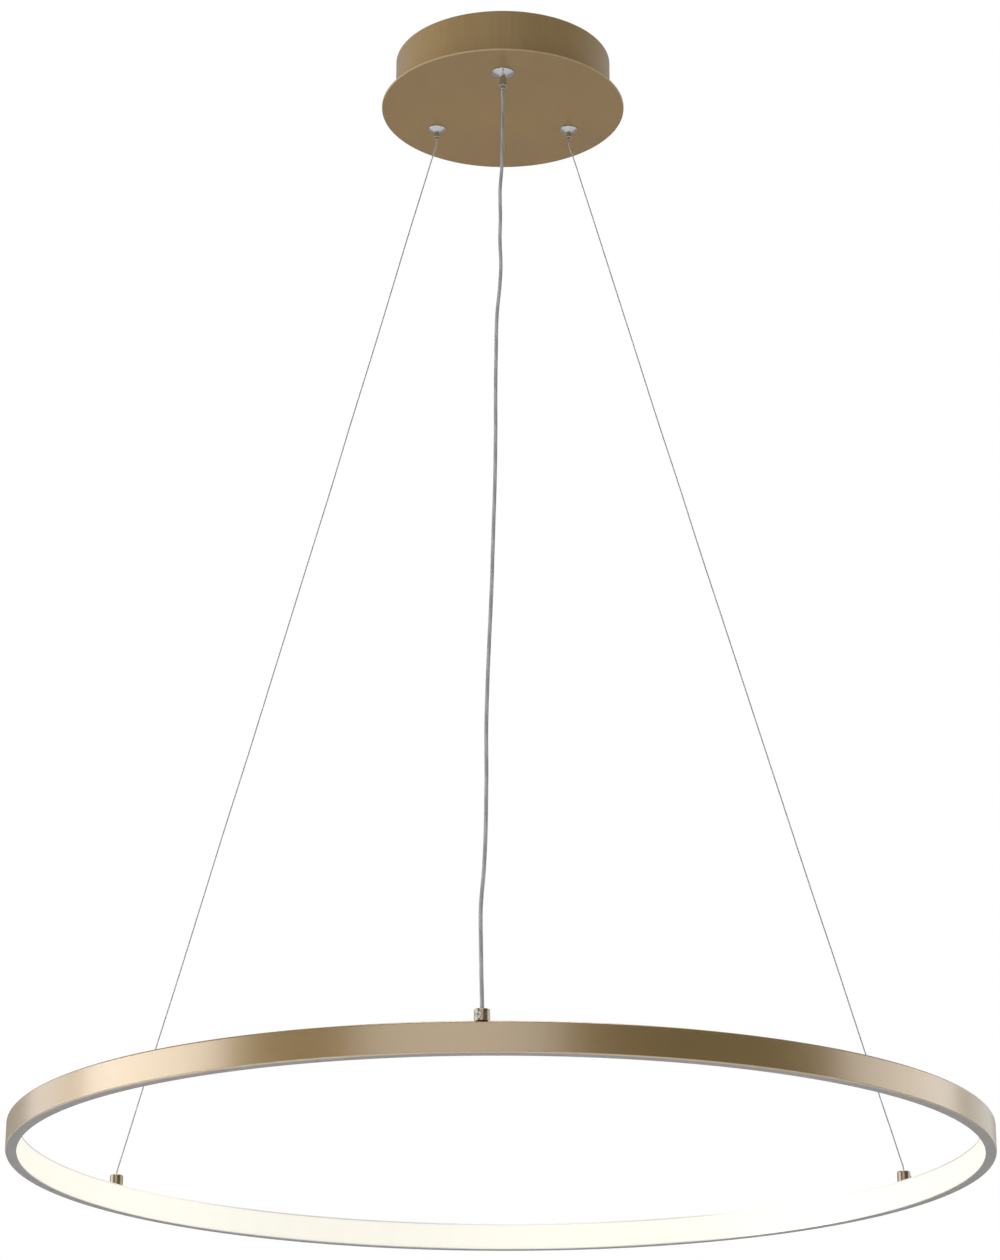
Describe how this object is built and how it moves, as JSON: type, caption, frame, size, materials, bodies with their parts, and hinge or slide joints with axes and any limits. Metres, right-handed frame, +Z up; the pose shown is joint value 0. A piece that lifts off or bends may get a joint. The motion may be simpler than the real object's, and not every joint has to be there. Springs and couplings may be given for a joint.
{
  "type": "pendant light",
  "caption": "Ring pendant light: round ceiling canopy, two steel wires and a power cord in push-release grippers, slim ring lit on its inner face.",
  "frame": {"origin": "centre of the ceiling bracket on the ceiling plane", "axes": "+Z up, -Y to the front, where the power cord hangs, +X to the right seen from the front"},
  "size_m": [0.8, 0.8022, 1.014],
  "materials": {
    "satin_gold_steel": "satin champagne gold finish on sheet steel",
    "zinc_steel": "zinc-plated steel",
    "chromed_brass": "polished chrome plating",
    "polished_steel": "ground and polished steel",
    "white_plastic": "moulded, fine spark-eroded grain",
    "board": "board with lacquered parts",
    "brown_blue_sleeve": "sleeved mains leads",
    "tinned_core": "clear sleeve over tinned strands",
    "green_yellow_sleeve": "sleeved earth lead",
    "steel_wire": "fine stranded steel",
    "clear_cord": "clear jacket over tinned strands",
    "brass_stop": "crimped brass",
    "satin_gold_aluminium": "satin champagne gold finish on extruded aluminium",
    "opal_plastic": "opal, lit from behind",
    "strip_tape": "white tape",
    "chip_phosphor": "light chip under a phosphor dome",
    "gold_brass": "turned brass, satin champagne gold plating"
  },
  "bodies": {
    "canopy": {"ceiling_bracket": "zinc_steel", "canopy_drum": "satin_gold_steel", "canopy_plate": "satin_gold_steel", "side_screws": "zinc_steel", "weld_studs": "zinc_steel", "stud_nuts": "zinc_steel", "driver_case": "white_plastic", "driver_board": "board", "driver_cover": "white_plastic", "terminal_block": "white_plastic", "terminal_screws": "zinc_steel", "input_leads": "brown_blue_sleeve", "output_leads": "tinned_core", "earth_lead": "green_yellow_sleeve", "front_gripper_body": "chromed_brass", "left_gripper_body": "chromed_brass", "right_gripper_body": "chromed_brass", "gripper_nuts": "zinc_steel", "gripper_caps": "zinc_steel", "front_spring": "zinc_steel", "left_spring": "zinc_steel", "right_spring": "zinc_steel", "left_wire_tail": "steel_wire", "right_wire_tail": "steel_wire", "wire_stops": "brass_stop", "cord_tail": "clear_cord", "cord_clamp": "zinc_steel", "left_wire": "steel_wire", "right_wire": "steel_wire", "power_cord": "clear_cord"},
    "front_release": {"front_plunger": "chromed_brass", "front_balls": "polished_steel"},
    "left_release": {"left_plunger": "chromed_brass", "left_balls": "polished_steel"},
    "right_release": {"right_plunger": "chromed_brass", "right_balls": "polished_steel"},
    "ring": {"ring_profile": "satin_gold_aluminium", "diffuser": "opal_plastic", "light_strip": "strip_tape", "light_chips": "chip_phosphor", "front_holder": "gold_brass", "left_holder": "gold_brass", "right_holder": "gold_brass", "grub_screws": "zinc_steel", "holder_nuts": "zinc_steel", "left_wire_end": "steel_wire", "right_wire_end": "steel_wire", "cord_end": "clear_cord", "feed_leads": "tinned_core"}
  },
  "joints": [
    {"name": "ring_height", "type": "slide", "parent": "canopy", "child": "ring", "axis": [0, 0, 1], "range_m": [0, 0.5], "deforming": ["left_wire", "right_wire", "power_cord"]},
    {"name": "front_release_push", "type": "slide", "parent": "canopy", "child": "front_release", "axis": [0, 0, 1], "range_m": [0, 0.0025], "stiffness_N_per_m": 800, "springref_m": -0.004, "deforming": ["front_spring"]},
    {"name": "left_release_push", "type": "slide", "parent": "canopy", "child": "left_release", "axis": [0, 0, 1], "range_m": [0, 0.0025], "stiffness_N_per_m": 800, "springref_m": -0.004, "deforming": ["left_spring"]},
    {"name": "right_release_push", "type": "slide", "parent": "canopy", "child": "right_release", "axis": [0, 0, 1], "range_m": [0, 0.0025], "stiffness_N_per_m": 800, "springref_m": -0.004, "deforming": ["right_spring"]}
  ]
}
